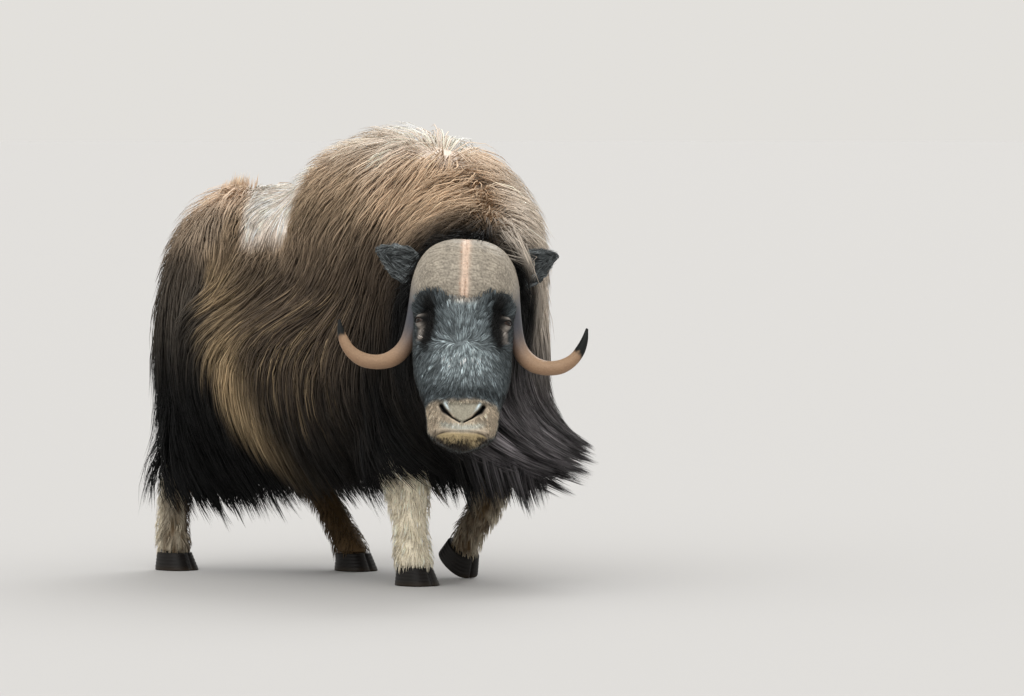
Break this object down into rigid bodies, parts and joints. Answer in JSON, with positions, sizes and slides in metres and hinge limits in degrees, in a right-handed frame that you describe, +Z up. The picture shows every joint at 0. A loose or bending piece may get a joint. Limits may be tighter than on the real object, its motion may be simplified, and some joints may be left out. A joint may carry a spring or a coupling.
{
  "type": "muskox",
  "caption": "Life-size bull muskox, still, walking with its head low and turned aside, with a broad horn boss, curved horns and a long coat that hangs past its hocks.",
  "frame": {"origin": "middle of the body's box in plan, on the floor that the hooves stand on", "axes": "+X forward along the trunk, +Y to the animal's left, +Z up; the head is turned to the animal's right"},
  "size_m": [2.0384, 1.1258, 1.3985],
  "materials": {
    "coat": "long coarse hair, sandy on the hump, dark brown below",
    "face_fur": "short dense hair, blue-grey and black",
    "ear_fur": "short black hair",
    "leg_fur": "short woolly cream hair",
    "muzzle": "moist bare skin",
    "horn": "fibrous boss, smooth polished horn with a black tip",
    "hoof": "dull black horn",
    "eye": "wet and glossy"
  },
  "bodies": {
    "root": {"hindquarters": "coat", "barrel": "coat", "shoulders": "coat", "neck": "coat", "tail": "coat", "head": "face_fur", "ear_left": "ear_fur", "ear_right": "ear_fur", "leg_front_left": "leg_fur", "leg_front_right": "leg_fur", "leg_hind_left": "leg_fur", "leg_hind_right": "leg_fur", "horn_left": "horn", "horn_right": "horn", "claw_front_left_left": "hoof", "claw_front_left_right": "hoof", "claw_front_right_left": "hoof", "claw_front_right_right": "hoof", "claw_hind_left_left": "hoof", "claw_hind_left_right": "hoof", "claw_hind_right_left": "hoof", "claw_hind_right_right": "hoof", "eye_left": "eye", "eye_right": "eye"}
  },
  "joints": []
}
